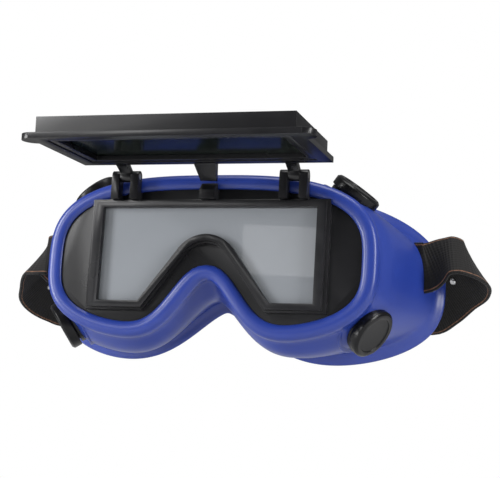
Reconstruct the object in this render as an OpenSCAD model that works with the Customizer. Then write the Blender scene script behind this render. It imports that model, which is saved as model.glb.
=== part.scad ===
// Lift-front welding goggles: soft body, rigid front frame with a clear lens,
// and a flip-up visor that carries the shade lens. Millimetres, +Z up, wearer looks along -Y.
// The origin is the centre of the face opening, in the plane of the body's temple edges.

/* [Body] */
// Distance from the bezel's front face to the temple edges
body_depth = 70; // [60:1:90]
// Half width of the rolled rim round the front frame
rim_half_w = 80.4; // [74:0.2:96]
// Half width of the body where it meets the temples, before the skirt
temple_half_w = 97; // [90:1:116]
// How far the face skirt stands out of the wall
skirt_out = 6; // [3:0.5:9]
// How far forward of the temple edges the skirt sits at the forehead and nose
face_bow = 26; // [10:1:34]
// Thickness of the soft wall
wall = 2.4; // [1.6:0.1:3]
// Width of the rolled rim, outside to inside
rim_w = 7.6; // [6:0.2:10]

/* [Front frame] */
// Half width of the raised bezel
bezel_half_w = 58; // [54:0.5:60]
// Half height of the raised bezel
bezel_half_h = 26.3; // [24:0.1:27.5]
// Half width of the clear opening
window_half_w = 52.1; // [46:0.1:53]
// Half height of the clear opening
window_half_h = 22.3; // [19:0.1:23]
// Radius at the top of the nose arch in the clear opening
arch_r = 16.2; // [12:0.2:18]
// Height of the centre of that radius over the middle of the bezel
arch_z = -6.75; // [-9:0.25:-5]
// Lean of the arch's straight sides from upright, degrees
arch_lean = 36.2; // [30:0.2:42]
// How far the bezel stands proud of the plate
bezel_proud = 4.4; // [3:0.1:6]
// Thickness of the plate
plate_t = 2.8; // [2:0.1:4]
// Thickness of the clear lens
clear_t = 2.2; // [1.5:0.1:3]

/* [Visor] */
// Width of the visor's flange
flange_w = 120.4; // [112:0.2:130]
// Length of the flange from its hinge edge to its free edge
flange_l = 62.7; // [58:0.1:72]
// Thickness of the flange
flange_t = 2.6; // [2:0.1:3.5]
// Height of the lens box over the flange
box_h = 7.1; // [6:0.1:12]
// Width of the filter lens
filter_w = 108; // [100:0.5:110]
// Height of the filter lens
filter_h = 50.8; // [44:0.2:52]
// Thickness of the shade lens
shade_t = 3; // [2:0.1:3.2]
// Thickness of the cover lens
cover_t = 1.5; // [1:0.1:1.8]
// How far the raised visor droops below level, degrees
droop = 4; // [0:0.5:10]

/* [Hinge] */
// Distance between the middles of the two hinges
hinge_span = 82; // [70:1:90]
// Radius of the hinge pin
pin_r = 1.5; // [1:0.05:1.6]
// Width of the knuckle between the ears
knuckle_w = 5.2; // [4:0.1:7]
// Thickness of each ear
ear_t = 3.8; // [2.5:0.1:4.5]
// Running clearance between pin and knuckle, on the radius
pin_gap = 0.05; // [0.02:0.01:0.09]

/* [Vents] */
// Diameter of the vent cap
vent_cap_d = 24; // [18:0.5:26]
// Radius of the hole through the body
vent_bore_r = 8.6; // [6:0.1:9]
// Thickness of the vent cap
vent_cap_t = 5; // [2:0.1:5]

/* [Headband] */
// Width of the elastic band
band_w = 25; // [20:0.5:27]
// Thickness of the elastic band
band_t = 1.8; // [1.2:0.1:2]
// Clearance all round where the band passes a slot
band_gap = 0.6; // [0.3:0.1:1]

/* [Hidden] */

blue = [0.17, 0.21, 0.58];
black = [0.11, 0.11, 0.125];
clear = [0.6, 0.63, 0.66, 0.5];
shade = [0.05, 0.09, 0.06, 0.9];
webbing = [0.06, 0.055, 0.055];
steel = [0.6, 0.6, 0.62];

fit = 0.2;              // clearance of pieces that drop into each other
ring_n = 72;            // points round the body's outline

// ---- Outline of the body -------------------------------------------------
// A section is [half width, middle height, rise above it, fall below it,
//               squareness, nose notch height, nose notch half width].
rim_section = [rim_half_w, -3, 42, 38.5, 2.9, 30.8, 17.5];
cheek_section = [rim_half_w + 5, -3.5, 43, 44.5, 2.8, 29.5, 19.5];
temple_section = [temple_half_w, -5, 40, 38.5, 2.6, 28, 27];

function mix(a, b, t) = a + (b - a) * t;

// One point of a section's outline, at angle a
function outline_point(s, a) =
    let (x = s[0] * cos(a),
         h = pow(max(0, 1 - pow(abs(cos(a)), s[4])), 1 / s[4]))
    a < 180 ? [x, s[1] + s[2] * h]
            : [x, s[1] - s[3] * h + s[5] * exp(-pow(abs(x) / s[6], 1.7))];

function outline(s) = [for (i = [0 : ring_n - 1]) outline_point(s, (i + 0.5) * 360 / ring_n)];

// The same outline moved out by d, or in where d is negative
function moved(pts, d) = [for (i = [0 : ring_n - 1])
    let (t = pts[(i + 1) % ring_n] - pts[(i + ring_n - 1) % ring_n],
         n = [t.y, -t.x] / norm(t))
    pts[i] + d * n];

// A ring in space: section s moved by d, at depth y behind the bezel's face,
// less the bow that brings its middle forward
function ring(s, d, y, bow) = [for (p = moved(outline(s), d))
    [p.x, y - bow * (1 - pow(min(1, abs(p.x) / s[0]), 2)), p.y]];

// ---- Depths behind the bezel's front face --------------------------------
plate_y = bezel_proud;
rim_y = plate_y - 2;                    // the rim's crest
groove_y0 = plate_y - fit;
groove_y1 = plate_y + plate_t + fit;
groove_d = -(rim_w - 2.2);              // bottom of the groove that holds the plate
plate_d = groove_d - fit;
cheek_y = 24;
skirt_y = body_depth - 8;
flange_d = skirt_out;

module body_shell() {
    rings = [
        ring(rim_section, -rim_w, groove_y0, 0),
        ring(rim_section, -rim_w + 0.5, rim_y + 0.9, 0),
        ring(rim_section, -rim_w * 0.66, rim_y + 0.1, 0),
        ring(rim_section, -rim_w * 0.34, rim_y, 0),
        ring(rim_section, -0.8, rim_y + 1.2, 0),
        ring(rim_section, 0, rim_y + 3.4, 0),
        ring(rim_section, -0.6, rim_y + 6.2, 0),
        ring(mix(rim_section, cheek_section, 0.12), -0.8, rim_y + 9, 0),
        ring(mix(rim_section, cheek_section, 0.7), 0, 17, 1),
        ring(cheek_section, 0, cheek_y, 2),
        ring(mix(cheek_section, temple_section, 0.5), 0, mix(cheek_y, skirt_y, 0.5), face_bow * 0.42),
        ring(temple_section, 0, skirt_y, face_bow * 0.85),
        ring(temple_section, flange_d * 0.45, skirt_y + 3.5, face_bow * 0.95),
        ring(temple_section, flange_d, body_depth - 1.5, face_bow),
        ring(temple_section, flange_d * 0.8, body_depth, face_bow),
        ring(temple_section, -5, body_depth - 0.6, face_bow),
        ring(temple_section, -5, body_depth - 2.4, face_bow),
        ring(temple_section, -wall, skirt_y + 1.5, face_bow * 0.9),
        ring(mix(cheek_section, temple_section, 0.5), -wall, mix(cheek_y, skirt_y, 0.5), face_bow * 0.42),
        ring(cheek_section, -wall, cheek_y, 2),
        ring(mix(rim_section, cheek_section, 0.7), -wall, 17.5, 1),
        ring(rim_section, -rim_w * 0.6, rim_y + 10, 0),
        ring(rim_section, -rim_w, groove_y1 + 1.4, 0),
        ring(rim_section, -rim_w, groove_y1, 0),
        ring(rim_section, groove_d, groove_y1, 0),
        ring(rim_section, groove_d, groove_y0, 0)];
    count = len(rings);
    polyhedron(
        points = [for (r = rings) each r],
        faces = [for (k = [0 : count - 1], i = [0 : ring_n - 1])
            let (a = k * ring_n + i, b = k * ring_n + (i + 1) % ring_n,
                 c = ((k + 1) % count) * ring_n + i, d = ((k + 1) % count) * ring_n + (i + 1) % ring_n)
            each [[a, b, d], [a, d, c]]],
        convexity = 8);
}

// ---- Vents: where the middle of each cap's outer face is, and its axis ----
vent_at = [[cheek_section[0] - 18.4, 22, cheek_section[1] + cheek_section[2] - 3.5],
           [cheek_section[0] - 7.9, 20, cheek_section[1] - cheek_section[3] + 14.5]];
vent_axis = [[0.6, -0.15, 0.78], [0.78, -0.28, -0.56]];
vent_sink = 8.2;                        // from the cap's outer face to the pad on the body
vent_collar_r = vent_cap_d / 2 - 1;
vent_neck_r = vent_bore_r + 0.6;
vent_pad_t = 4.5;
vent_room = 0.5;                        // clearance round the cap where it sits in the wall

// Places children with +Z out along a vent's axis; level 0 is upper, 1 is lower
module at_vent(level, side) {
    n = vent_axis[level];
    mirror([side < 0 ? 1 : 0, 0, 0])
    translate(vent_at[level])
    rotate([0, acos(n.z / norm(n)), atan2(n.y, n.x)])
    children();
}

module each_vent() {
    for (level = [0, 1], side = [-1, 1]) at_vent(level, side) children();
}

// ---- Slots for the headband ------------------------------------------------
slot_y = skirt_y - 9;
wall_half_w = mix(cheek_section[0], temple_half_w, (slot_y - cheek_y) / (skirt_y - cheek_y));
slot_at = [wall_half_w + 1.25, slot_y, 4.5];
slot_turn = -19;

module strap_slot(side) {
    mirror([side < 0 ? 1 : 0, 0, 0])
    translate(slot_at) rotate([0, 0, slot_turn])
    cube([24, band_t + 2 * band_gap, band_w + 2 * band_gap], center = true);
}

// The body is one free-form moulding, so resize() keeps all of it as a single mesh
module body() {
    color(blue)
    resize([0, 0, 0])
    difference() {
        union() {
            body_shell();
            each_vent() translate([0, 0, -vent_sink - vent_pad_t])
                cylinder(h = vent_pad_t, r = vent_cap_d / 2 + vent_room + wall, $fn = 32);
        }
        each_vent() translate([0, 0, -vent_sink - 12]) cylinder(h = 14, r = vent_bore_r, $fn = 32);
        each_vent() translate([0, 0, -vent_sink]) cylinder(h = vent_sink + 4, r = vent_cap_d / 2 + vent_room, $fn = 32);
        each_vent() translate([0, 0, -vent_sink - vent_pad_t - 12])
            cylinder(h = 12, r = vent_cap_d / 2 + vent_room + wall + 1, $fn = 32);
        for (side = [-1, 1]) strap_slot(side);
    }
}

// ---- Front frame -------------------------------------------------------------
// Extrudes a drawing in X and Z between two depths
module slab(y0, y1) {
    translate([0, y1, 0]) rotate([90, 0, 0]) linear_extrude(y1 - y0) children();
}

// The right half of the nose arch, from its foot up to the middle; grow widens the opening
function arch_half(foot_z, grow) =
    let (r = arch_r - grow, tx = r * cos(arch_lean), tz = arch_z + r * sin(arch_lean))
    concat([[tx + (tz - foot_z) * tan(arch_lean), foot_z]],
           [for (a = [arch_lean : (90 - arch_lean) / 7 : 89.9]) [r * cos(a), arch_z + r * sin(a)]]);

// A rectangle with the nose arch cut up into it
module arched(half_w, half_h, grow) {
    arch = arch_half(-half_h, grow);
    polygon(concat([[half_w, -half_h], [half_w, half_h], [-half_w, half_h], [-half_w, -half_h]],
                   [for (p = arch) [-p.x, p.y]], [[0, arch_z + arch_r - grow]],
                   [for (i = [len(arch) - 1 : -1 : 0]) arch[i]]));
}

module window(grow) { arched(window_half_w + grow, window_half_h + grow, grow); }

bezel_step = 1.7;
lens_y = 3.2;                           // the clear lens's front face
lens_lap = 2.5;                         // how far the clear lens reaches behind the bezel
pivot_y = -0.7;
pivot_z = bezel_half_h + 10.5;
knuckle_r = pin_r + 1.2;
ear_foot_z = bezel_half_h - 0.5;
ear_back_y = rim_y - 2 * fit;
plate_top_z = rim_section[1] + rim_section[2] - rim_w;
underside = 4.5;                        // height of the flange's underside over the pivot when raised
post_w = 7.4;
tongue_reach = 2.8;                     // sweep radius of the detent tongue's tip

// Side outline of an ear that springs from the plate and passes in front of the rim
module lug_side(top_z, front_y) {
    polygon([[plate_y + 0.5, ear_foot_z], [front_y, ear_foot_z], [front_y, top_z],
             [ear_back_y, top_z], [ear_back_y, plate_top_z], [plate_y + 0.5, plate_top_z]]);
}

// Extrudes a drawing in Y and Z to width w across X, centred
module across(w) { translate([-w / 2, 0, 0]) rotate([90, 0, 90]) linear_extrude(w) children(); }

// The post's side outline: its top slopes forward, clear of the tongue when the visor is shut
module post_side() {
    top_z = pivot_z - tongue_reach - 0.5;
    front_y = pivot_y - 2.5;
    lean_y = pivot_y + 0.9;
    polygon([[plate_y + 0.5, ear_foot_z], [front_y, ear_foot_z], [front_y, top_z - 1.05 * (lean_y - front_y)],
             [lean_y, top_z], [ear_back_y, top_z], [ear_back_y, plate_top_z], [plate_y + 0.5, plate_top_z]]);
}

// The space the rolled rim takes up in front of the plate
module rim_room() {
    slab(rim_y - 2 * fit, plate_y) difference() {
        square(4 * rim_half_w, center = true);
        polygon(moved(outline(rim_section), -rim_w - fit));
    }
}

module ear(x) {
    translate([x, 0, 0]) {
        across(ear_t) lug_side(pivot_z, pivot_y - knuckle_r);
        translate([-ear_t / 2, pivot_y, pivot_z]) rotate([0, 90, 0]) cylinder(h = ear_t, r = knuckle_r, $fn = 40);
    }
}

module front_frame() {
    ear_x = knuckle_w / 2 + fit + ear_t / 2;
    color(black)
    difference() {
        union() {
            slab(plate_y, plate_y + plate_t) polygon(moved(outline(rim_section), plate_d));
            slab(bezel_proud * 0.4, plate_y + 0.5) arched(bezel_half_w, bezel_half_h, 4);
            slab(0, plate_y) arched(bezel_half_w - bezel_step, bezel_half_h - bezel_step * 0.6, 4 - bezel_step * 0.6);
            for (side = [-1, 1], e = [-1, 1]) ear(side * hinge_span / 2 + e * ear_x);
            across(post_w) post_side();
        }
        rim_room();
        slab(-1, plate_y + plate_t + 1) window(0);
        slab(lens_y, plate_y + plate_t + 1) window(lens_lap + fit);
        for (side = [-1, 1]) hinge_bore(side, pin_r, knuckle_w + 4 * ear_t);
    }
}

module hinge_bore(side, r, len) {
    translate([side * hinge_span / 2 - len / 2, pivot_y, pivot_z]) rotate([0, 90, 0]) cylinder(h = len, r = r, $fn = 40);
}

module clear_lens() {
    color(clear) slab(lens_y, lens_y + clear_t) window(lens_lap);
}

module lens_retainer() {
    color(black)
    difference() {
        slab(lens_y + clear_t, plate_y + plate_t + 1.4) window(lens_lap);
        slab(lens_y, plate_y + plate_t + 2) window(-0.6);
    }
}

module hinge_pin(side) {
    color(steel) hinge_bore(side, pin_r, knuckle_w + 2 * fit + 2 * ear_t);
}

// ---- Visor, drawn level with the pivot at the origin, then drooped ---------
hinge_edge = 6.3;                       // from the pivot to the flange's hinge edge
box_w = flange_w - 5.4;
box_l = flange_l - 3;
box_y = -(hinge_edge + 1.3 + box_l / 2);
box_top = underside + flange_t + box_h;
box_roof = 1.5;
ear_r = 6;
filter_rim = 3.2;                       // how far the box and retainer lap the filter lens
gasket_t = 0.9;

module visor_place() { translate([0, pivot_y, pivot_z]) rotate([droop, 0, 0]) children(); }

// A plate w by l about the box's centre, from height z0 to z1
module box_plate(w, l, z0, z1) {
    translate([-w / 2, box_y - l / 2, z0]) cube([w, l, z1 - z0]);
}

module knuckle_arm() {
    across(knuckle_w)
    polygon([[-knuckle_r, 0], [-knuckle_r, 1.5], [-hinge_edge - 3, underside], [-hinge_edge - 3, underside + flange_t],
             [-hinge_edge, underside + flange_t], [knuckle_r * 0.7, knuckle_r * 0.7], [0, 0]]);
}

module detent_tongue() {
    hull() {
        translate([-5.3, -hinge_edge - 2, underside]) cube([10.6, 4, flange_t]);
        translate([-3.9, -1.4, -tongue_reach + 0.5]) cube([7.8, 2, 1.5]);
    }
}

module visor_shell() {
    color(black)
    visor_place()
    difference() {
        union() {
            translate([-flange_w / 2, -hinge_edge - flange_l, underside]) cube([flange_w, flange_l, flange_t]);
            box_plate(box_w, box_l, underside, box_top);
            for (side = [-1, 1]) {
                translate([side * (flange_w / 2 - 1), -hinge_edge - flange_l + ear_r, underside])
                    cylinder(h = flange_t, r = ear_r, $fn = 48);
                translate([side * hinge_span / 2, 0, 0]) {
                    knuckle_arm();
                    translate([-knuckle_w / 2, 0, 0]) rotate([0, 90, 0]) cylinder(h = knuckle_w, r = knuckle_r, $fn = 40);
                }
            }
            detent_tongue();
        }
        box_plate(filter_w + 2 * fit, filter_h + 2 * fit, underside - 1, box_top - box_roof);
        box_plate(filter_w - 2 * filter_rim, filter_h - 2 * filter_rim, underside, box_top + 1);
        for (side = [-1, 1])
            translate([side * hinge_span / 2 - knuckle_w, 0, 0]) rotate([0, 90, 0])
                cylinder(h = 2 * knuckle_w, r = pin_r + pin_gap, $fn = 40);
    }
}

cover_top = box_top - box_roof;
gasket_top = cover_top - cover_t;
shade_top = gasket_top - gasket_t;
retainer_top = shade_top - shade_t;

module filter_plate(top, t) { visor_place() box_plate(filter_w, filter_h, top - t, top); }

// A frame the size of the filter lens, open in the middle
module filter_frame(top, t, rim) {
    visor_place()
    difference() {
        box_plate(filter_w, filter_h, top - t, top);
        box_plate(filter_w - 2 * rim, filter_h - 2 * rim, top - t - 1, top + 1);
    }
}

module cover_lens() { color(clear) filter_plate(cover_top, cover_t); }
module lens_gasket() { color(black) filter_frame(gasket_top, gasket_t, filter_rim); }
module shade_lens() { color(shade) filter_plate(shade_top, shade_t); }
module visor_retainer() { color(black) filter_frame(retainer_top, retainer_top - underside - 0.4, filter_rim + 0.4); }

// ---- Vent pieces --------------------------------------------------------------
module vent_base(level, side) {
    color(black)
    at_vent(level, side)
    difference() {
        union() {
            translate([0, 0, -vent_sink]) cylinder(h = 2.6, r = vent_collar_r, $fn = 48);
            translate([0, 0, -vent_sink - vent_pad_t - 1.6]) cylinder(h = vent_pad_t + 4, r = vent_bore_r, $fn = 48);
            translate([0, 0, -vent_sink + 2.6]) cylinder(h = vent_sink - 2.6 - vent_cap_t, r = vent_neck_r, $fn = 48);
            translate([0, 0, -vent_sink - vent_pad_t - 1.6]) cylinder(h = 1.6, r = vent_bore_r + 1.2, $fn = 48);
        }
        translate([0, 0, -vent_sink - vent_pad_t - 2]) cylinder(h = vent_pad_t + 3.6, r = vent_bore_r - 1.4, $fn = 48);
        for (a = [0 : 60 : 300]) rotate(a) translate([4.6, 0, -vent_sink]) cylinder(h = vent_sink, r = 1.5, $fn = 20);
    }
}

module vent_cap(level, side) {
    color(black)
    at_vent(level, side)
    difference() {
        union() {
            translate([0, 0, -vent_cap_t]) cylinder(h = vent_cap_t - 1, r = vent_cap_d / 2, $fn = 48);
            translate([0, 0, -1]) cylinder(h = 1, r1 = vent_cap_d / 2, r2 = vent_cap_d / 2 - 1.2, $fn = 48);
        }
        translate([0, 0, -0.5]) cylinder(h = 1, r = vent_cap_d / 2 - 3.2, $fn = 48);
    }
}

// ---- Headband: centre line from inside each slot to the middle of the back ----
// The soft band lies a little differently on each side. The first run is placed from the slot,
// and the rest lies between that and the middle of the back.
band_out_right = [[-7.5, 2.6, 0], [0, 0, 0], [7.7, -2.2, 4.1], [13.4, -2.6, 5.6], [19.2, 1, 4.1], [22, 8, 1],
    [20, 16, -3], [13.2, 25, -6.3], [5.2, 35, -11.5], [-4.1, 45, -14.8]];
band_out_left = [[-7.5, 2.6, 0], [0, 0, 0], [4.4, -2.2, 3.5], [9, -2.4, 3], [13.5, 1, 1.5], [18, 8, -3.5],
    [21.5, 16, -8.5], [21, 25, -12.5], [17, 35, -15], [10, 45, -15.7]];
back_y = body_depth + 46;
back_z = 9;
band_back = [[0.78, -10, -15], [0.6, -4.5, -8], [0.42, -1.5, -2.5], [0.25, 0, 0], [0.08, 0, 0]];
// Lean of the band's width from upright at each of those points, degrees, top inwards
lean_right = [0, 0, 26, 36, 35, 35, 34, 32, 24, 16, 10, 6, 2, 0, 0];
lean_left = [0, 0, 20, 30, 38, 38, 34, 30, 24, 16, 10, 6, 2, 0, 0];

function band_half(out) = concat([for (p = out) slot_at + p],
    [for (p = band_back) [slot_at.x * p.x, back_y + p.y, back_z + p.z]]);
function reversed(v) = [for (i = [len(v) - 1 : -1 : 0]) v[i]];
route = concat(band_half(band_out_right), [for (p = reversed(band_half(band_out_left))) [-p.x, p.y, p.z]]);
lean = concat(lean_right, reversed(lean_left));

// Catmull-Rom point between route points i and i+1
function at_end(v, i) = v[max(0, min(len(v) - 1, i))];
function spline(v, i, t) =
    let (a = at_end(v, i - 1), b = at_end(v, i), c = at_end(v, i + 1), d = at_end(v, i + 2))
    0.5 * (2 * b + (c - a) * t + (2 * a - 5 * b + 4 * c - d) * t * t + (3 * b - a - 3 * c + d) * t * t * t);
function fine(v) = concat([for (i = [0 : len(v) - 2], t = [0, 0.5]) spline(v, i, t)], [v[len(v) - 1]]);

// The four corners of the band's section at point i
function band_corners(pts, leans, i) =
    let (t0 = at_end(pts, i + 1) - at_end(pts, i - 1),
         t = t0 / norm(t0),
         side = cross(t, [0, 0, 1]) / norm(cross(t, [0, 0, 1])),
         up0 = cross(side, t),
         up = up0 * cos(leans[i]) + side * sin(leans[i]) * -1,
         n = cross(up, t))
    [for (c = [[1, 1], [1, -1], [-1, -1], [-1, 1]]) pts[i] + up * c.x * band_w / 2 + n * c.y * band_t / 2];

module headband() {
    pts = fine(route);
    leans = fine(lean);
    count = len(pts);
    color(webbing)
    polyhedron(
        points = [for (i = [0 : count - 1]) each band_corners(pts, leans, i)],
        faces = concat(
            [[3, 2, 1, 0]],
            [for (i = [0 : count - 2], c = [0 : 3])
                let (a = 4 * i + c, b = 4 * i + (c + 1) % 4)
                each [[a, b, b + 4], [a, b + 4, a + 4]]],
            [[for (c = [0 : 3]) 4 * (count - 1) + c]]),
        convexity = 6);
}

rivet_point = 7;                        // the point of each half of the route that the rivet is by
rivet_rise = 5;                         // how far it is above the band's centre line
module strap_rivet(side) {
    pts = fine(route);
    i = side > 0 ? 2 * rivet_point : len(pts) - 1 - 2 * rivet_point;
    corners = band_corners(pts, fine(lean), i);
    n = (corners[0] - corners[1]) / band_t;     // out through the band
    up = (corners[0] - corners[3]) / band_w;
    color(steel)
    translate(pts[i] + rivet_rise * up) rotate([0, acos(n.z), atan2(n.y, n.x)]) {
        cylinder(h = band_t + 2, r = 0.9, center = true, $fn = 24);
        for (end = [0, 180]) rotate([end, 0, 0]) translate([0, 0, band_t / 2])
            cylinder(h = 1, r1 = 1.9, r2 = 1.3, $fn = 32);
    }
}

adjuster_l = 14;
module strap_adjuster() {
    bar = 3;
    inner = [adjuster_l + 1, band_t + 2 * band_gap, band_w + 2 * band_gap];
    color(black)
    translate([0, back_y, back_z])
    difference() {
        cube([adjuster_l, inner.y + 2 * 1.6, inner.z + 2 * bar], center = true);
        cube(inner, center = true);
    }
}

// ---- The whole, moved so the origin is at the face opening ------------------
module placed() { translate([0, -body_depth, 0]) children(); }

placed() body();
placed() front_frame();
placed() clear_lens();
placed() lens_retainer();
placed() visor_shell();
placed() cover_lens();
placed() lens_gasket();
placed() shade_lens();
placed() visor_retainer();
placed() hinge_pin(-1);  // hinge_pin_left
placed() hinge_pin(1);  // hinge_pin_right
placed() vent_base(0, -1);  // vent_base_upper_left
placed() vent_base(0, 1);  // vent_base_upper_right
placed() vent_base(1, -1);  // vent_base_lower_left
placed() vent_base(1, 1);  // vent_base_lower_right
placed() vent_cap(0, -1);  // vent_cap_upper_left
placed() vent_cap(0, 1);  // vent_cap_upper_right
placed() vent_cap(1, -1);  // vent_cap_lower_left
placed() vent_cap(1, 1);  // vent_cap_lower_right
placed() headband();
placed() strap_rivet(-1);  // strap_rivet_left
placed() strap_rivet(1);  // strap_rivet_right
placed() strap_adjuster();
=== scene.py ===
# %% [markdown]
# # Lift-front welding goggles
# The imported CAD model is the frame: it says where every piece is. This lesson gives each piece its looks.
# Hard mouldings keep their CAD shape, and a copy gets rounded edges. The soft body and the elastic headband
# are built anew as smooth meshes in the same places.

# %% Load the frame
from math import cos, exp, pi, radians, sin

import bmesh
import bpy
from mathutils import Matrix, Vector


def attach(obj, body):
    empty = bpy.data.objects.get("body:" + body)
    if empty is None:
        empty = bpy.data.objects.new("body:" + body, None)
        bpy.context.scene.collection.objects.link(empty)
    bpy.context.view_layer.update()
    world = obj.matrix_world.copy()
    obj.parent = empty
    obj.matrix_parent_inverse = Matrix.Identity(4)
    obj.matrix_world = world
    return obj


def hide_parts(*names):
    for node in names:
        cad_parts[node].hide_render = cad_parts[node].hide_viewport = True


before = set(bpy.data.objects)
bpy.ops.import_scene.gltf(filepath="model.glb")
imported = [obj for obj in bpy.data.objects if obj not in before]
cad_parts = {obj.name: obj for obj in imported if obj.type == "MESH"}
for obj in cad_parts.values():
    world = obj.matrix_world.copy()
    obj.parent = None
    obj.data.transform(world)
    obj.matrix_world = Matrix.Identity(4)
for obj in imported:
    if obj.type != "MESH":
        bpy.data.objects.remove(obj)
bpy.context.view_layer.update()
MM = 0.001
scene = bpy.context.scene

# %% [markdown]
# ## Camera
# The goggles are seen from a little to one side and from a little below their own level, with the plate
# nearly upright. A long lens keeps the visor from looming.

# %% Camera
VIEW_SIDE, VIEW_UP, VIEW_ROLL = radians(16.15), radians(-11.02), radians(3.49)
VIEW_AT = Vector((0.0213, -0.070, 0.0071))
VIEW_DISTANCE = 0.5717
LENS_MM = 89.87

turn = (Matrix.Rotation(VIEW_SIDE, 4, "Z") @ Matrix.Rotation(pi / 2 - VIEW_UP, 4, "X")
        @ Matrix.Rotation(VIEW_ROLL, 4, "Z"))
camera_data = bpy.data.cameras.new("camera")
camera_data.lens = LENS_MM
camera_data.sensor_width = 36.0
camera_data.clip_start = 0.01
camera = bpy.data.objects.new("camera", camera_data)
camera.matrix_world = Matrix.Translation(VIEW_AT) @ turn @ Matrix.Translation((0, 0, VIEW_DISTANCE))
scene.collection.objects.link(camera)
scene.camera = camera
print("camera at", [round(v, 3) for v in camera.matrix_world.translation])

# %% [markdown]
# ## Shader groups
# Three small effects turn up in most finishes: a fine moulded grain, a slow drift of colour across a piece,
# and the paler line that handling leaves on an edge. Each is a node group, built once.

# %% Groups for grain, drift and worn edges
def new_group(name, inputs, outputs):
    """A shader node group with the sockets named, and its two end nodes."""
    group = bpy.data.node_groups.new(name, "ShaderNodeTree")
    for label, kind, value in inputs:
        socket = group.interface.new_socket(name=label, in_out="INPUT", socket_type=kind)
        if value is not None:
            socket.default_value = value
    for label, kind in outputs:
        group.interface.new_socket(name=label, in_out="OUTPUT", socket_type=kind)
    return group, group.nodes.new("NodeGroupInput"), group.nodes.new("NodeGroupOutput")


def grain_group():
    """Fine moulded grain: a height that changes over the surface."""
    group, start, end = new_group("grain", [("Scale", "NodeSocketFloat", 900.0)],
                                  [("Height", "NodeSocketFloat")])
    place = group.nodes.new("ShaderNodeTexCoord")
    noise = group.nodes.new("ShaderNodeTexNoise")
    noise.inputs["Detail"].default_value = 3.0
    group.links.new(place.outputs["Object"], noise.inputs["Vector"])
    group.links.new(start.outputs["Scale"], noise.inputs["Scale"])
    group.links.new(noise.outputs["Fac"], end.inputs["Height"])
    return group


def drift_group():
    """A slow drift between two colours, and a mask that the roughness can follow."""
    group, start, end = new_group(
        "drift",
        [("Scale", "NodeSocketFloat", 30.0), ("Color A", "NodeSocketColor", (1, 1, 1, 1)),
         ("Color B", "NodeSocketColor", (0, 0, 0, 1)), ("Rough A", "NodeSocketFloat", 0.3),
         ("Rough B", "NodeSocketFloat", 0.4)],
        [("Color", "NodeSocketColor"), ("Roughness", "NodeSocketFloat")])
    place = group.nodes.new("ShaderNodeTexCoord")
    noise = group.nodes.new("ShaderNodeTexNoise")
    noise.inputs["Detail"].default_value = 4.0
    mix = group.nodes.new("ShaderNodeMix")
    mix.data_type = "RGBA"
    rough = group.nodes.new("ShaderNodeMix")
    group.links.new(place.outputs["Object"], noise.inputs["Vector"])
    group.links.new(start.outputs["Scale"], noise.inputs["Scale"])
    group.links.new(noise.outputs["Fac"], mix.inputs["Factor"])
    group.links.new(start.outputs["Color A"], mix.inputs[6])
    group.links.new(start.outputs["Color B"], mix.inputs[7])
    group.links.new(noise.outputs["Fac"], rough.inputs["Factor"])
    group.links.new(start.outputs["Rough A"], rough.inputs[2])
    group.links.new(start.outputs["Rough B"], rough.inputs[3])
    group.links.new(mix.outputs[2], end.inputs["Color"])
    group.links.new(rough.outputs[0], end.inputs["Roughness"])
    return group


def edge_group():
    """Lightens a colour along sharp convex edges, broken up by noise."""
    group, start, end = new_group(
        "worn_edge",
        [("Color", "NodeSocketColor", (1, 1, 1, 1)), ("Edge", "NodeSocketColor", (1, 1, 1, 1)),
         ("Amount", "NodeSocketFloat", 0.3)],
        [("Color", "NodeSocketColor")])
    shape = group.nodes.new("ShaderNodeNewGeometry")
    step = group.nodes.new("ShaderNodeMapRange")
    step.inputs["From Min"].default_value = 0.53
    step.inputs["From Max"].default_value = 0.62
    place = group.nodes.new("ShaderNodeTexCoord")
    noise = group.nodes.new("ShaderNodeTexNoise")
    noise.inputs["Scale"].default_value = 140.0
    times = group.nodes.new("ShaderNodeMath")
    times.operation = "MULTIPLY"
    amount = group.nodes.new("ShaderNodeMath")
    amount.operation = "MULTIPLY"
    mix = group.nodes.new("ShaderNodeMix")
    mix.data_type = "RGBA"
    group.links.new(shape.outputs["Pointiness"], step.inputs["Value"])
    group.links.new(place.outputs["Object"], noise.inputs["Vector"])
    group.links.new(step.outputs["Result"], times.inputs[0])
    group.links.new(noise.outputs["Fac"], times.inputs[1])
    group.links.new(times.outputs[0], amount.inputs[0])
    group.links.new(start.outputs["Amount"], amount.inputs[1])
    group.links.new(amount.outputs[0], mix.inputs["Factor"])
    group.links.new(start.outputs["Color"], mix.inputs[6])
    group.links.new(start.outputs["Edge"], mix.inputs[7])
    group.links.new(mix.outputs[2], end.inputs["Color"])
    return group


GRAIN, DRIFT, EDGE = grain_group(), drift_group(), edge_group()
print("groups", [g.name for g in bpy.data.node_groups])

# %% [markdown]
# ## Moulded finishes
# The body is satin PVC, the frame and visor are a harder black, the vents a darker one, and the gasket is
# matt rubber. They differ in colour, gloss and grain, so one function makes them all from the same groups.

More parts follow.
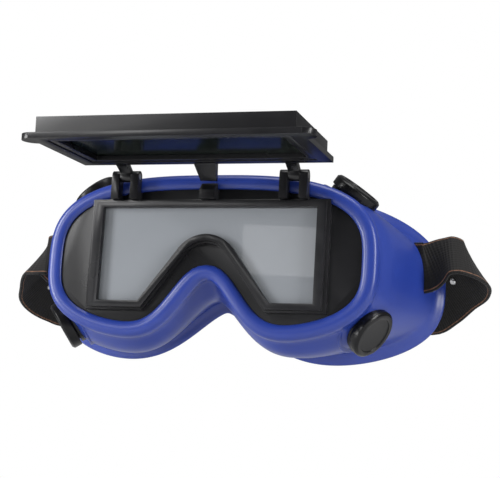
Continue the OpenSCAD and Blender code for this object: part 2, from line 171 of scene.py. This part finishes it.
# %% Moulded plastic
def moulded(name, dark, light, rough, grain_scale, grain_depth, edge, edge_amount, coat=0.0, gloss=0.5):
    """A moulded finish: drifting colour, worn edges and a fine grain."""
    material = bpy.data.materials.new(name)
    material.use_nodes = True
    nodes, links = material.node_tree.nodes, material.node_tree.links
    shader = nodes["Principled BSDF"]
    drift = nodes.new("ShaderNodeGroup")
    drift.node_tree = DRIFT
    drift.inputs["Scale"].default_value = 35.0
    drift.inputs["Color A"].default_value = (*dark, 1)
    drift.inputs["Color B"].default_value = (*light, 1)
    drift.inputs["Rough A"].default_value = rough[0]
    drift.inputs["Rough B"].default_value = rough[1]
    worn = nodes.new("ShaderNodeGroup")
    worn.node_tree = EDGE
    worn.inputs["Edge"].default_value = (*edge, 1)
    worn.inputs["Amount"].default_value = edge_amount
    grain = nodes.new("ShaderNodeGroup")
    grain.node_tree = GRAIN
    grain.inputs["Scale"].default_value = grain_scale
    bump = nodes.new("ShaderNodeBump")
    bump.inputs["Strength"].default_value = 0.35
    bump.inputs["Distance"].default_value = grain_depth
    links.new(drift.outputs["Color"], worn.inputs["Color"])
    links.new(worn.outputs["Color"], shader.inputs["Base Color"])
    links.new(drift.outputs["Roughness"], shader.inputs["Roughness"])
    links.new(grain.outputs["Height"], bump.inputs["Height"])
    links.new(bump.outputs["Normal"], shader.inputs["Normal"])
    shader.inputs["Specular IOR Level"].default_value = gloss
    shader.inputs["Coat Weight"].default_value = coat
    shader.inputs["Coat Roughness"].default_value = 0.12
    return material


PVC = moulded("blue_pvc", dark=(0.011, 0.027, 0.185), light=(0.016, 0.040, 0.250), rough=(0.30, 0.38),
              grain_scale=700.0, grain_depth=0.00005, edge=(0.05, 0.09, 0.40), edge_amount=0.3,
              coat=0.12, gloss=0.4)
BLACK = moulded("black_plastic", dark=(0.0035, 0.0035, 0.0045), light=(0.006, 0.006, 0.007),
                rough=(0.24, 0.33), grain_scale=1200.0, grain_depth=0.00003, edge=(0.05, 0.05, 0.055),
                edge_amount=0.35, gloss=0.35)
VENT = moulded("vent_plastic", dark=(0.003, 0.003, 0.0035), light=(0.005, 0.005, 0.006),
               rough=(0.22, 0.32), grain_scale=1100.0, grain_depth=0.00004, edge=(0.07, 0.07, 0.08),
               edge_amount=0.35, gloss=0.22)
RUBBER = moulded("black_rubber", dark=(0.005, 0.005, 0.005), light=(0.008, 0.008, 0.008),
                 rough=(0.6, 0.75), grain_scale=900.0, grain_depth=0.00005, edge=(0.03, 0.03, 0.03),
                 edge_amount=0.2)
print("moulded finishes", PVC.name, BLACK.name, VENT.name, RUBBER.name)

# %% [markdown]
# ## Lenses and steel
# The clear lens mirrors the studio's cards, and under that it is painted a flat pale grey that lets little
# light
# through: the grey is painted reflection of the studio and painted shade of the goggles' inside. The shade
# lens is nearly black, and the cover lens over it is plain clear plastic. A faint haze breaks up the gloss.

# %% Lenses and steel
def lens(name, color, haze_color, rough, transmission, gloss=0.5):
    """A glossy sheet: part of the light goes through, the rest shows its colour drifting towards a faint
    haze; the clear lens's grey colour is painted reflection and painted shade.
    """
    material = bpy.data.materials.new(name)
    material.use_nodes = True
    nodes, links = material.node_tree.nodes, material.node_tree.links
    shader = nodes["Principled BSDF"]
    drift = nodes.new("ShaderNodeGroup")
    drift.node_tree = DRIFT
    drift.inputs["Scale"].default_value = 22.0
    drift.inputs["Color A"].default_value = (*color, 1)
    drift.inputs["Color B"].default_value = (*haze_color, 1)
    drift.inputs["Rough A"].default_value = rough[0]
    drift.inputs["Rough B"].default_value = rough[1]
    links.new(drift.outputs["Color"], shader.inputs["Base Color"])
    links.new(drift.outputs["Roughness"], shader.inputs["Roughness"])
    shader.inputs["Transmission Weight"].default_value = transmission
    shader.inputs["Specular IOR Level"].default_value = gloss
    return material


# The clear lens's pale grey base and its lighter drift colour are painted reflection and painted shade; it
# lets only 6 per cent of the light through.
CLEAR = lens("clear_polycarbonate", (0.215, 0.23, 0.25), (0.245, 0.26, 0.28), (0.01, 0.03), 0.06)
COVER = lens("cover_plastic", (0.80, 0.83, 0.83), (0.86, 0.88, 0.88), (0.03, 0.06), 0.99)
SHADE = lens("shade_glass", (0.004, 0.006, 0.005), (0.006, 0.009, 0.007), (0.14, 0.2), 0.0, gloss=0.08)


def steel_finish():
    """Plain steel with fine turned lines."""
    material = bpy.data.materials.new("plain_steel")
    material.use_nodes = True
    nodes, links = material.node_tree.nodes, material.node_tree.links
    shader = nodes["Principled BSDF"]
    shader.inputs["Metallic"].default_value = 1.0
    drift = nodes.new("ShaderNodeGroup")
    drift.node_tree = DRIFT
    drift.inputs["Scale"].default_value = 400.0
    drift.inputs["Color A"].default_value = (0.42, 0.42, 0.43, 1)
    drift.inputs["Color B"].default_value = (0.58, 0.58, 0.59, 1)
    drift.inputs["Rough A"].default_value = 0.25
    drift.inputs["Rough B"].default_value = 0.42
    links.new(drift.outputs["Color"], shader.inputs["Base Color"])
    links.new(drift.outputs["Roughness"], shader.inputs["Roughness"])
    return material


STEEL = steel_finish()
print("lens finishes", CLEAR.name, COVER.name, SHADE.name, "and", STEEL.name)

# %% [markdown]
# ## Hard mouldings
# A CAD mesh is loose triangles with knife edges. A copy is merged, its flat faces are dissolved back into
# single faces, and a small bevel rounds the edges, because it is the rounded edge that catches the light.

# %% Hard pieces with rounded edges
FLAT_ANGLE = radians(1.0)
SHARP_ANGLE = radians(32)
MERGE = 0.01 * MM


def ready(obj, node, material, body):
    """Gives a finished piece its material and its body, and hides the CAD node it is built from."""
    obj.data.materials.clear()
    obj.data.materials.append(material)
    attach(obj, body)
    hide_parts(node)
    return obj


def rounded(node, material, body, width, segments=2):
    """A copy of a CAD node with rounded edges; a lens stays flat-shaded, so that it mirrors like a sheet."""
    bm = bmesh.new()
    bm.from_mesh(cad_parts[node].data)
    bmesh.ops.remove_doubles(bm, verts=bm.verts, dist=MERGE)
    bmesh.ops.dissolve_limit(bm, angle_limit=FLAT_ANGLE, verts=bm.verts, edges=bm.edges)
    mesh = bpy.data.meshes.new(node + "_piece")
    bm.to_mesh(mesh)
    bm.free()
    for face in mesh.polygons:
        face.use_smooth = material not in (CLEAR, COVER, SHADE)
    obj = bpy.data.objects.new(node + "_piece", mesh)
    scene.collection.objects.link(obj)
    bevel = obj.modifiers.new("edges", "BEVEL")
    bevel.width = width
    bevel.segments = segments
    bevel.limit_method = "ANGLE"
    bevel.angle_limit = SHARP_ANGLE
    bevel.harden_normals = material not in (CLEAR, COVER, SHADE)
    return ready(obj, node, material, body)


# node, finish, body, and the width of its rounded edges in mm
HARD = [("front_frame", BLACK, "mask", 0.5), ("lens_retainer", BLACK, "mask", 0.2),
        ("visor_shell", BLACK, "visor", 0.45), ("visor_retainer", BLACK, "visor", 0.2),
        ("lens_gasket", RUBBER, "visor", 0.15), ("clear_lens", CLEAR, "mask", 0.15),
        ("cover_lens", COVER, "visor", 0.15), ("shade_lens", SHADE, "visor", 0.2),
        ("strap_adjuster", BLACK, "adjuster", 0.5)]
for name, finish, body, width in HARD:
    rounded(name, finish, body, width * MM)
for side in ("left", "right"):
    rounded("hinge_pin_" + side, STEEL, "mask", 0.2 * MM)
    rounded("strap_rivet_" + side, STEEL, "mask", 0.25 * MM)
    for level in ("upper", "lower"):
        rounded(f"vent_base_{level}_{side}", VENT, "mask", 0.3 * MM)
        rounded(f"vent_cap_{level}_{side}", VENT, "mask", 0.7 * MM, segments=3)

# %% [markdown]
# ## Soft body
# The real body is one PVC moulding: a rolled rim round the plate, a wall that swells over the cheeks, and a
# skirt that flares on to the face. It is a loft. Each ring starts as a bmesh circle, its points are moved on
# to an outline (a squared oval with a notch for the nose), and the rings are bridged one to the next.

# %% Outlines of the body
DEPTH = 70.0            # bezel face to temple edges, mm
RIM_W, WALL, SKIRT, BOW = 7.6, 2.4, 6.0, 26.0
PLATE_FRONT, PLATE_T, GAP = 4.4, 2.8, 0.2
RIM_CREST = PLATE_FRONT - 2.0
SKIRT_Y, CHEEK_Y = DEPTH - 8.0, 24.0
# half width, middle height, rise, fall, squareness, nose notch height, notch half width
RIM = (80.4, -3.0, 42.0, 38.5, 2.9, 30.8, 17.5)
CHEEK = (85.4, -3.5, 43.0, 44.5, 2.8, 29.5, 19.5)
TEMPLE = (97.0, -5.0, 40.0, 38.5, 2.6, 28.0, 27.0)
ROUND = 160             # points round each ring


def between(a, b, t):
    """A section part of the way from one to another."""
    return tuple(p + (q - p) * t for p, q in zip(a, b))


def outline_point(section, angle):
    """A point of a section's outline in X and Z."""
    half, mid, rise, fall, square, notch, notch_w = section
    x = half * cos(angle)
    h = max(0.0, 1 - abs(cos(angle)) ** square) ** (1 / square)
    if angle < pi:
        return Vector((x, mid + rise * h))
    return Vector((x, mid - fall * h + notch * exp(-(abs(x) / notch_w) ** 1.7)))


def outline(section, out):
    """A section's outline, moved out by so many millimetres."""
    points = [outline_point(section, 2 * pi * (i + 0.5) / ROUND) for i in range(ROUND)]
    moved = []
    for i, point in enumerate(points):
        along = points[(i + 1) % ROUND] - points[i - 1]
        moved.append(point + Vector((along.y, -along.x)).normalized() * out)
    return moved


def ring_place(section, out, depth, bow):
    """Places of a ring's points in the row frame, in metres."""
    return [Vector((p.x, depth - DEPTH - bow * (1 - min(1.0, abs(p.x) / section[0]) ** 2), p.y)) * MM
            for p in outline(section, out)]


MIDDLE = between(CHEEK, TEMPLE, 0.5)
MIDDLE_Y = (CHEEK_Y + SKIRT_Y) / 2
GROOVE = -(RIM_W - 2.2)
# each ring: section, how far out of it, depth from the bezel's face, and how far its middle bows forward
BODY_RINGS = [
    (RIM, -RIM_W, PLATE_FRONT - GAP, 0), (RIM, -RIM_W + 0.15, RIM_CREST + 1.3, 0),
    (RIM, -RIM_W * 0.84, RIM_CREST + 0.45, 0), (RIM, -RIM_W * 0.66, RIM_CREST + 0.08, 0),
    (RIM, -RIM_W * 0.42, RIM_CREST, 0), (RIM, -RIM_W * 0.2, RIM_CREST + 0.5, 0),
    (RIM, -0.45, RIM_CREST + 1.7, 0), (RIM, 0, RIM_CREST + 3.6, 0),
    (RIM, -0.3, RIM_CREST + 5.6, 0), (between(RIM, CHEEK, 0.05), -0.9, RIM_CREST + 7.4, 0),
    (between(RIM, CHEEK, 0.22), -0.7, RIM_CREST + 9.8, 0), (between(RIM, CHEEK, 0.7), 0, 17, 1),
    (CHEEK, 0, CHEEK_Y, 2), (between(CHEEK, MIDDLE, 0.5), 0, (CHEEK_Y + MIDDLE_Y) / 2, 6),
    (MIDDLE, 0, MIDDLE_Y, BOW * 0.42),
    (between(MIDDLE, TEMPLE, 0.5), 0, (MIDDLE_Y + SKIRT_Y) / 2, BOW * 0.64),
    (TEMPLE, 0, SKIRT_Y - 1, BOW * 0.84), (TEMPLE, SKIRT * 0.12, SKIRT_Y + 2.2, BOW * 0.92),
    (TEMPLE, SKIRT * 0.5, SKIRT_Y + 4.4, BOW * 0.96), (TEMPLE, SKIRT * 0.92, DEPTH - 2.4, BOW),
    (TEMPLE, SKIRT, DEPTH - 1.2, BOW), (TEMPLE, SKIRT * 0.8, DEPTH - 0.2, BOW),
    (TEMPLE, 0, DEPTH - 0.1, BOW), (TEMPLE, -4.4, DEPTH - 0.5, BOW), (TEMPLE, -5, DEPTH - 1.4, BOW),
    (TEMPLE, -4.4, DEPTH - 2.6, BOW), (TEMPLE, -WALL, SKIRT_Y + 1.5, BOW * 0.9),
    (MIDDLE, -WALL, MIDDLE_Y, BOW * 0.42), (CHEEK, -WALL, CHEEK_Y, 2),
    (between(RIM, CHEEK, 0.7), -WALL, 17.5, 1), (RIM, -RIM_W * 0.6, RIM_CREST + 10, 0),
    (RIM, -RIM_W, PLATE_FRONT + PLATE_T + GAP + 1.4, 0), (RIM, -RIM_W, PLATE_FRONT + PLATE_T + GAP, 0),
    (RIM, GROOVE, PLATE_FRONT + PLATE_T + GAP, 0), (RIM, GROOVE, PLATE_FRONT - GAP, 0)]
# where each vent's cap sits, upper and lower, the way it faces, and the pad behind it
VENT_AT = ((CHEEK[0] - 18.4, 22, CHEEK[1] + CHEEK[2] - 3.5),
           (CHEEK[0] - 7.9, 20, CHEEK[1] - CHEEK[3] + 14.5))
VENT_AXIS = ((0.6, -0.15, 0.78), (0.78, -0.28, -0.56))
VENT_SINK, PAD_T, PAD_R = 8.2, 4.5, 14.9
# where the band goes through the wall, and the lug behind each slot
SLOT_Y = SKIRT_Y - 9
WALL_HALF_W = CHEEK[0] + (TEMPLE[0] - CHEEK[0]) * (SLOT_Y - CHEEK_Y) / (SKIRT_Y - CHEEK_Y)
LUG, LUG_Z = (7, 2.4, 7), -3.5
LUG_OUT, LUG_BEHIND = 1.6, 4.7
PAD_EDGE, LUG_EDGE = 0.9, 0.7
print("body rings", len(BODY_RINGS), "of", ROUND, "points")

# %% Loft the body
def stack_of_circles(bm, count, points):
    """Equal bmesh circles one above another, bridged; returns each one's points in order, and its edges."""
    loops = []
    for k in range(count):
        made = bmesh.ops.create_circle(bm, segments=points, radius=1.0,
                                       matrix=Matrix.Translation((0, 0, k)))
        loops.append(made["verts"])
    edges_of = [[e for e in bm.edges if e.verts[0] in loop and e.verts[1] in loop]
                for loop in map(set, loops)]
    for below, above in zip(edges_of, edges_of[1:]):
        bmesh.ops.bridge_loops(bm, edges=below + above)
    return loops, edges_of


def mesh_object(name, bm):
    """A smooth-shaded object made from a bmesh, at the origin."""
    mesh = bpy.data.meshes.new(name)
    bm.to_mesh(mesh)
    bm.free()
    for face in mesh.polygons:
        face.use_smooth = True
    obj = bpy.data.objects.new(name, mesh)
    scene.collection.objects.link(obj)
    return obj


def at_vent(level, side):
    """The turn and place of a vent, with +Z out along its axis."""
    place, axis = Vector(VENT_AT[level]), Vector(VENT_AXIS[level])
    for v in (place, axis):
        v.x *= side
    place.y -= DEPTH
    return Matrix.Translation(place * MM) @ axis.to_track_quat("Z", "Y").to_matrix().to_4x4()


def soft_body():
    """The lofted skin, closed from its last ring to its first, with the vents' pads and the band's lugs."""
    bm = bmesh.new()
    loops, edges_of = stack_of_circles(bm, len(BODY_RINGS), ROUND)
    bmesh.ops.bridge_loops(bm, edges=edges_of[-1] + edges_of[0])
    for loop, ring in zip(loops, BODY_RINGS):
        for vert, place in zip(loop, ring_place(*ring)):
            vert.co = place
    for level in (0, 1):
        for side in (-1, 1):
            middle = Matrix.Translation((0, 0, -(VENT_SINK + PAD_T / 2) * MM))
            pad = bmesh.ops.create_cone(
                bm, cap_ends=True, segments=48, radius1=PAD_R * MM, radius2=PAD_R * MM,
                depth=PAD_T * MM, matrix=at_vent(level, side) @ middle)["verts"]
            ends = [e for v in pad for e in v.link_edges]
            bmesh.ops.bevel(bm, geom=list(dict.fromkeys(ends)), offset=PAD_EDGE * MM, segments=3,
                            profile=0.5, affect="EDGES", material=-1)
    for side in (-1, 1):
        place = Vector((side * (WALL_HALF_W + LUG_OUT), SLOT_Y + LUG_BEHIND - DEPTH, LUG_Z)) * MM
        lug = bmesh.ops.create_cube(
            bm, size=MM, matrix=Matrix.Translation(place) @ Matrix.Diagonal((*LUG, 1)))["verts"]
        ends = [e for v in lug for e in v.link_edges]
        bmesh.ops.bevel(bm, geom=list(dict.fromkeys(ends)), offset=LUG_EDGE * MM, segments=2,
                        profile=0.5, affect="EDGES", material=-1)
    bmesh.ops.recalc_face_normals(bm, faces=bm.faces)
    return mesh_object("soft_body", bm)


body_piece = soft_body()
smooth = body_piece.modifiers.new("smooth", "SUBSURF")
smooth.levels = smooth.render_levels = 1
ready(body_piece, "body", PVC, "mask")
print("soft body faces", len(body_piece.data.polygons))

# %% [markdown]
# ## Headband
# Woven elastic: black, with a brown thread along each edge. The ribbon is swept along the same route as the
# CAD solid. Each station is a thin rounded rectangle, and the UV map runs along and across the band so that
# the weave and the edge thread follow it.

# %% Route of the band
BAND_W, BAND_T = 25.0, 1.8
SLOT_AT = Vector((WALL_HALF_W + 1.25, SLOT_Y, 4.5))
BACK_Y, BACK_Z = DEPTH + 46, 9.0
# points measured from the slot on each side, then points between that and the middle of the back
BAND_OUT_RIGHT = [(-7.5, 2.6, 0), (0, 0, 0), (7.7, -2.2, 4.1), (13.4, -2.6, 5.6), (19.2, 1, 4.1), (22, 8, 1),
                  (20, 16, -3), (13.2, 25, -6.3), (5.2, 35, -11.5), (-4.1, 45, -14.8)]
BAND_OUT_LEFT = [(-7.5, 2.6, 0), (0, 0, 0), (4.4, -2.2, 3.5), (9, -2.4, 3), (13.5, 1, 1.5), (18, 8, -3.5),
                 (21.5, 16, -8.5), (21, 25, -12.5), (17, 35, -15), (10, 45, -15.7)]
BAND_BACK = [(0.78, -10, -15), (0.6, -4.5, -8), (0.42, -1.5, -2.5), (0.25, 0, 0), (0.08, 0, 0)]
# how far the band's top edge leans inwards at each point, degrees
LEAN_RIGHT = [0, 0, 26, 36, 35, 35, 34, 32, 24, 16, 10, 6, 2, 0, 0]
LEAN_LEFT = [0, 0, 20, 30, 38, 38, 34, 30, 24, 16, 10, 6, 2, 0, 0]


def band_half(out, side):
    """Points of one half of the band, from inside the slot to the middle of the back."""
    points = [SLOT_AT + Vector(p) for p in out]
    points += [Vector((SLOT_AT.x * x, BACK_Y + y, BACK_Z + z)) for x, y, z in BAND_BACK]
    return [Vector((side * p.x, p.y - DEPTH, p.z)) for p in points]


route = band_half(BAND_OUT_RIGHT, 1) + band_half(BAND_OUT_LEFT, -1)[::-1]
lean = LEAN_RIGHT + LEAN_LEFT[::-1]
STEPS = 6


def spline(values, i, t):
    """A point of the smooth curve between values i and i + 1."""
    a, b, c, d = (values[max(0, min(len(values) - 1, i + k))] for k in (-1, 0, 1, 2))
    return 0.5 * (2 * b + (c - a) * t + (2 * a - 5 * b + 4 * c - d) * t * t
                  + (3 * b - a - 3 * c + d) * t ** 3)


def refined(values):
    """The smooth curve through the values, at several steps for each."""
    fine = [spline(values, i, k / STEPS) for i in range(len(values) - 1) for k in range(STEPS)]
    return fine + [values[-1]]


band_line, band_lean = refined(route), refined(lean)

# %% Sweep the band
# Corner places of the section: across the width and through the thickness, with rounded ends
BAND_SECTION = [(1, 0.35), (0.975, 0.9), (0.9, 1), (-0.9, 1), (-0.975, 0.9), (-1, 0.35),
                (-1, -0.35), (-0.975, -0.9), (-0.9, -1), (0.9, -1), (0.975, -0.9), (1, -0.35)]


def band_frame(i):
    """The width and thickness directions of the band at station i."""
    last = len(band_line) - 1
    along = (band_line[min(last, i + 1)] - band_line[max(0, i - 1)]).normalized()
    side = along.cross(Vector((0, 0, 1))).normalized()
    up = side.cross(along)
    width = up * cos(radians(band_lean[i])) - side * sin(radians(band_lean[i]))
    return width, width.cross(along)


def sweep_band():
    """The band as a closed tube of rounded rectangles, with UVs along and across it."""
    bm = bmesh.new()
    stations, edges_of = stack_of_circles(bm, len(band_line), len(BAND_SECTION))
    for ends in (edges_of[0], edges_of[-1]):
        bmesh.ops.contextual_create(bm, geom=ends)
    across, along, total = {}, {}, 0.0
    for i, (ring, centre) in enumerate(zip(stations, band_line)):
        width, through = band_frame(i)
        total += (centre - band_line[i - 1]).length if i else 0.0
        for vert, (u, v) in zip(ring, BAND_SECTION):
            vert.co = (centre + width * (u * BAND_W / 2) + through * (v * BAND_T / 2)) * MM
            across[vert], along[vert] = u, total / BAND_W
    bmesh.ops.recalc_face_normals(bm, faces=bm.faces)
    layer = bm.loops.layers.uv.new("band")
    for face in bm.faces:
        for corner in face.loops:
            corner[layer].uv = (along[corner.vert], (across[corner.vert] + 1) / 2)
    return mesh_object("elastic_headband", bm)


RIBS, PICKS, STITCHES = 18, 16, 9       # waves in one band width
THREAD_AT, THREAD_HALF = 0.455, 0.011   # from the middle, in band widths


def webbing():
    """Black woven elastic: a rib weave on the band's own UVs, and a brown thread near each edge."""
    material = bpy.data.materials.new("woven_elastic")
    material.use_nodes = True
    nodes, links = material.node_tree.nodes, material.node_tree.links
    shader = nodes["Principled BSDF"]
    place = nodes.new("ShaderNodeUVMap")
    place.uv_map = "band"
    split = nodes.new("ShaderNodeSeparateXYZ")
    links.new(place.outputs["UV"], split.inputs["Vector"])

    def math(operation, a, b):
        node = nodes.new("ShaderNodeMath")
        node.operation = operation
        for socket, value in zip(node.inputs, (a, b)):
            if isinstance(value, (int, float)):
                socket.default_value = value
            else:
                links.new(value, socket)
        return node.outputs[0]

    ribs = math("SINE", math("MULTIPLY", split.outputs["X"], 2 * pi * RIBS), 0)
    picks = math("SINE", math("MULTIPLY", split.outputs["Y"], 2 * pi * PICKS), 0)
    weave = math("MULTIPLY", math("ADD", ribs, math("MULTIPLY", picks, 0.5)), 0.5)
    from_middle = math("ABSOLUTE", math("SUBTRACT", split.outputs["Y"], 0.5), 0)
    from_thread = math("ABSOLUTE", math("SUBTRACT", from_middle, THREAD_AT), 0)
    thread = math("LESS_THAN", from_thread, THREAD_HALF)
    wave = math("SINE", math("MULTIPLY", split.outputs["X"], 2 * pi * STITCHES), 0)
    stitches = math("ADD", math("MULTIPLY", wave, 0.2), 0.8)
    mask = math("MULTIPLY", thread, stitches)
    mix = nodes.new("ShaderNodeMix")
    mix.data_type = "RGBA"
    mix.inputs[6].default_value = (0.006, 0.0055, 0.0055, 1)
    mix.inputs[7].default_value = (0.17, 0.085, 0.05, 1)
    links.new(mask, mix.inputs["Factor"])
    links.new(mix.outputs[2], shader.inputs["Base Color"])
    height = math("ADD", weave, math("MULTIPLY", mask, 1.5))
    bump = nodes.new("ShaderNodeBump")
    bump.inputs["Strength"].default_value = 0.5
    bump.inputs["Distance"].default_value = 0.0002
    links.new(height, bump.inputs["Height"])
    links.new(bump.outputs["Normal"], shader.inputs["Normal"])
    shader.inputs["Roughness"].default_value = 0.72
    shader.inputs["Specular IOR Level"].default_value = 0.25
    shader.inputs["Sheen Weight"].default_value = 0.08
    shader.inputs["Sheen Roughness"].default_value = 0.4
    return material


headband = ready(sweep_band(), "headband", webbing(), "mask")
print("headband faces", len(headband.data.polygons))

# %% [markdown]
# ## Studio
# A plain pale floor under the goggles and a white world. A broad softbox overhead and one on each side give
# the long highlights on the rim and the grey sheen on the plate. Two small cards in front are meant for the
# clear lens to mirror.

# %% Floor, world and lights
FLOOR_Z, FLOOR_HALF = -0.16, 2.0
floor_mesh = bpy.data.meshes.new("floor")
floor_bm = bmesh.new()
bmesh.ops.create_grid(floor_bm, x_segments=1, y_segments=1, size=FLOOR_HALF,
                      matrix=Matrix.Translation((0, 0, FLOOR_Z)))
floor_bm.to_mesh(floor_mesh)
floor_bm.free()
floor = bpy.data.objects.new("floor", floor_mesh)
scene.collection.objects.link(floor)
paper = bpy.data.materials.new("pale_paper")
paper.use_nodes = True
paper_shader = paper.node_tree.nodes["Principled BSDF"]
paper_shader.inputs["Base Color"].default_value = (0.85, 0.85, 0.85, 1)
paper_shader.inputs["Roughness"].default_value = 0.9
floor_mesh.materials.append(paper)

world = bpy.data.worlds.new("studio")
scene.world = world
world.use_nodes = True
sky, sky_links = world.node_tree.nodes, world.node_tree.links
fill = sky["Background"]
fill.inputs["Color"].default_value = (1, 1, 1, 1)
fill.inputs["Strength"].default_value = 0.19
backdrop = sky.new("ShaderNodeBackground")
backdrop.inputs["Color"].default_value = (1, 1, 1, 1)
rays, blend = sky.new("ShaderNodeLightPath"), sky.new("ShaderNodeMixShader")
sky_links.new(rays.outputs["Is Camera Ray"], blend.inputs[0])
sky_links.new(fill.outputs[0], blend.inputs[1])
sky_links.new(backdrop.outputs[0], blend.inputs[2])
sky_links.new(blend.outputs[0], sky["World Output"].inputs["Surface"])
scene.view_settings.view_transform = "Standard"


def softbox(name, place, aim, size, power):
    """A rectangular area light that faces a point."""
    data = bpy.data.lights.new(name, "AREA")
    data.shape = "RECTANGLE"
    data.size, data.size_y = size
    data.energy = power
    light = bpy.data.objects.new(name, data)
    away = Vector(place) - Vector(aim)
    light.matrix_world = Matrix.Translation(place) @ away.to_track_quat("Z", "Y").to_matrix().to_4x4()
    scene.collection.objects.link(light)


MIDDLE_OF_IT = (0, -0.05, 0)
softbox("overhead", (0.1, -0.3, 0.9), MIDDLE_OF_IT, (0.8, 0.5), 6.5)
softbox("left_side", (-0.75, -0.55, 0.12), MIDDLE_OF_IT, (0.25, 0.7), 10.0)
softbox("right_side", (0.9, -0.35, 0.25), MIDDLE_OF_IT, (0.3, 0.6), 8.0)
softbox("front_fill", (0.1, -1.3, -0.5), MIDDLE_OF_IT, (0.9, 0.4), 0.6)
softbox("left_card", (-0.64, -1.2, 0.26), MIDDLE_OF_IT, (0.20, 0.26), 2.4)
softbox("right_card", (-0.24, -1.2, 0.22), MIDDLE_OF_IT, (0.15, 0.07), 0.05)
